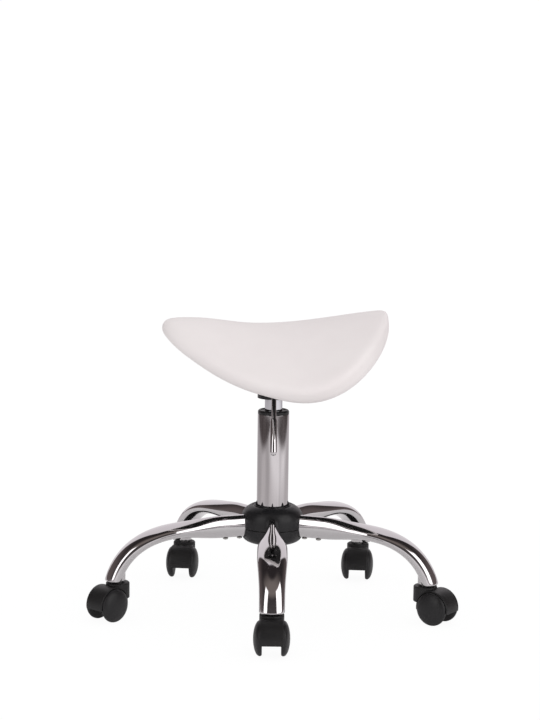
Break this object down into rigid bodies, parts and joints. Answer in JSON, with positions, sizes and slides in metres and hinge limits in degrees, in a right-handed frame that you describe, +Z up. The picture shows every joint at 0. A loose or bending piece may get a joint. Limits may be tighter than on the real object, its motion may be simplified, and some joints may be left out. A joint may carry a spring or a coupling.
{
  "type": "saddle stool",
  "caption": "Height-adjustable saddle work stool: padded saddle seat, gas-lift column with a release lever, and a rolling star base on hooded swivel casters.",
  "frame": {"origin": "on the floor under the middle of the bounding box; the column axis stands 39.2 mm behind it, at +Y", "axes": "+Z up; the nose of the saddle points to -X and its rear to +X; one base arm points to -Y"},
  "size_m": [0.5785, 0.5291, 0.4778],
  "materials": {
    "leather": "smooth pale grey imitation leather",
    "chrome": "polished chrome plating",
    "screw_steel": "zinc plated",
    "black_steel": "black powder coat",
    "cover_plastic": "satin moulded",
    "inner_steel": "turned",
    "hood_plastic": "satin moulded",
    "wheel_plastic": "satin moulded",
    "bush_plastic": "satin moulded",
    "cylinder_steel": "hard chrome, ground smooth",
    "shell_plastic": "rough moulded",
    "lever_chrome": "polished chrome plating"
  },
  "bodies": {
    "base": {"arm_1": "chrome", "arm_2": "chrome", "arm_3": "chrome", "arm_4": "chrome", "arm_5": "chrome", "arm_screw_1_inner": "screw_steel", "arm_screw_1_outer": "screw_steel", "arm_screw_2_inner": "screw_steel", "arm_screw_2_outer": "screw_steel", "arm_screw_3_inner": "screw_steel", "arm_screw_3_outer": "screw_steel", "arm_screw_4_inner": "screw_steel", "arm_screw_4_outer": "screw_steel", "arm_screw_5_inner": "screw_steel", "arm_screw_5_outer": "screw_steel", "hub_core": "black_steel", "hub_top_cover": "cover_plastic", "hub_bottom_cover": "cover_plastic", "outer_tube": "chrome", "tube_bush": "bush_plastic", "thrust_bearing": "inner_steel", "caster_stem_1": "inner_steel", "caster_stem_2": "inner_steel", "caster_stem_3": "inner_steel", "caster_stem_4": "inner_steel", "caster_stem_5": "inner_steel"},
    "caster_fork_1": {"caster_hood_1": "hood_plastic", "caster_axle_1": "inner_steel"},
    "caster_wheel_left_1": {"wheel_left_1": "wheel_plastic"},
    "caster_wheel_right_1": {"wheel_right_1": "wheel_plastic"},
    "caster_fork_2": {"caster_hood_2": "hood_plastic", "caster_axle_2": "inner_steel"},
    "caster_wheel_left_2": {"wheel_left_2": "wheel_plastic"},
    "caster_wheel_right_2": {"wheel_right_2": "wheel_plastic"},
    "caster_fork_3": {"caster_hood_3": "hood_plastic", "caster_axle_3": "inner_steel"},
    "caster_wheel_left_3": {"wheel_left_3": "wheel_plastic"},
    "caster_wheel_right_3": {"wheel_right_3": "wheel_plastic"},
    "caster_fork_4": {"caster_hood_4": "hood_plastic", "caster_axle_4": "inner_steel"},
    "caster_wheel_left_4": {"wheel_left_4": "wheel_plastic"},
    "caster_wheel_right_4": {"wheel_right_4": "wheel_plastic"},
    "caster_fork_5": {"caster_hood_5": "hood_plastic", "caster_axle_5": "inner_steel"},
    "caster_wheel_left_5": {"wheel_left_5": "wheel_plastic"},
    "caster_wheel_right_5": {"wheel_right_5": "wheel_plastic"},
    "column_rod": {"piston_rod": "inner_steel", "retaining_clip": "inner_steel"},
    "seat": {"gas_cylinder": "cylinder_steel", "rod_guide": "bush_plastic", "seat_cushion": "leather", "seat_shell": "shell_plastic", "seat_plate": "black_steel", "seat_bolt_1": "screw_steel", "seat_bolt_2": "screw_steel", "seat_bolt_3": "screw_steel", "seat_bolt_4": "screw_steel"},
    "lever": {"release_lever": "lever_chrome", "lever_grip": "lever_chrome"},
    "pin": {"release_pin": "inner_steel"}
  },
  "joints": [
    {"name": "caster_swivel_1", "type": "hinge", "parent": "base", "child": "caster_fork_1", "pos_m": [0, -0.2133, 0.0575], "axis": [0, 0, 1], "continuous": true},
    {"name": "wheel_spin_left_1", "type": "hinge", "parent": "caster_fork_1", "child": "caster_wheel_left_1", "pos_m": [0, -0.2358, 0.026], "axis": [1, 0, 0], "continuous": true},
    {"name": "wheel_spin_right_1", "type": "hinge", "parent": "caster_fork_1", "child": "caster_wheel_right_1", "pos_m": [0, -0.2358, 0.026], "axis": [1, 0, 0], "continuous": true},
    {"name": "caster_swivel_2", "type": "hinge", "parent": "base", "child": "caster_fork_2", "pos_m": [0.24014, -0.03883, 0.0575], "axis": [0, 0, 1], "continuous": true},
    {"name": "wheel_spin_left_2", "type": "hinge", "parent": "caster_fork_2", "child": "caster_wheel_left_2", "pos_m": [0.25811, -0.05237, 0.026], "axis": [0.6018, 0.7986, 0], "continuous": true},
    {"name": "wheel_spin_right_2", "type": "hinge", "parent": "caster_fork_2", "child": "caster_wheel_right_2", "pos_m": [0.25811, -0.05237, 0.026], "axis": [0.6018, 0.7986, 0], "continuous": true},
    {"name": "caster_swivel_3", "type": "hinge", "parent": "base", "child": "caster_fork_3", "pos_m": [0.14842, 0.24348, 0.0575], "axis": [0, 0, 1], "continuous": true},
    {"name": "wheel_spin_left_3", "type": "hinge", "parent": "caster_fork_3", "child": "caster_wheel_left_3", "pos_m": [0.14645, 0.22106, 0.026], "axis": [0.9962, -0.0872, 0], "continuous": true},
    {"name": "wheel_spin_right_3", "type": "hinge", "parent": "caster_fork_3", "child": "caster_wheel_right_3", "pos_m": [0.14645, 0.22106, 0.026], "axis": [0.9962, -0.0872, 0], "continuous": true},
    {"name": "caster_swivel_4", "type": "hinge", "parent": "base", "child": "caster_fork_4", "pos_m": [-0.14842, 0.24348, 0.0575], "axis": [0, 0, 1], "continuous": true},
    {"name": "wheel_spin_left_4", "type": "hinge", "parent": "caster_fork_4", "child": "caster_wheel_left_4", "pos_m": [-0.15077, 0.2211, 0.026], "axis": [0.9945, -0.1045, 0], "continuous": true},
    {"name": "wheel_spin_right_4", "type": "hinge", "parent": "caster_fork_4", "child": "caster_wheel_right_4", "pos_m": [-0.15077, 0.2211, 0.026], "axis": [0.9945, -0.1045, 0], "continuous": true},
    {"name": "caster_swivel_5", "type": "hinge", "parent": "base", "child": "caster_fork_5", "pos_m": [-0.24014, -0.03883, 0.0575], "axis": [0, 0, 1], "continuous": true},
    {"name": "wheel_spin_left_5", "type": "hinge", "parent": "caster_fork_5", "child": "caster_wheel_left_5", "pos_m": [-0.2552, -0.05555, 0.026], "axis": [0.7431, -0.6691, 0], "continuous": true},
    {"name": "wheel_spin_right_5", "type": "hinge", "parent": "caster_fork_5", "child": "caster_wheel_right_5", "pos_m": [-0.2552, -0.05555, 0.026], "axis": [0.7431, -0.6691, 0], "continuous": true},
    {"name": "seat_swivel", "type": "hinge", "parent": "base", "child": "column_rod", "pos_m": [0, 0.0392, 0.12], "axis": [0, 0, 1], "continuous": true},
    {"name": "seat_lift", "type": "slide", "parent": "column_rod", "child": "seat", "axis": [0, 0, 1], "range_m": [0, 0.12]},
    {"name": "lever_pivot", "type": "hinge", "parent": "seat", "child": "lever", "pos_m": [0, 0.0072, 0.3975], "axis": [-1, 0, 0], "range_deg": [0, 8], "stiffness_Nm_per_rad": 1},
    {"name": "pin_press", "type": "slide", "parent": "seat", "child": "pin", "axis": [0, 0, -1], "range_m": [0, 0.0045], "stiffness_N_per_m": 1500}
  ],
  "couplings": [
    {"joint": "pin_press", "follows": "lever_pivot", "m_per_rad": 0.0319}
  ]
}
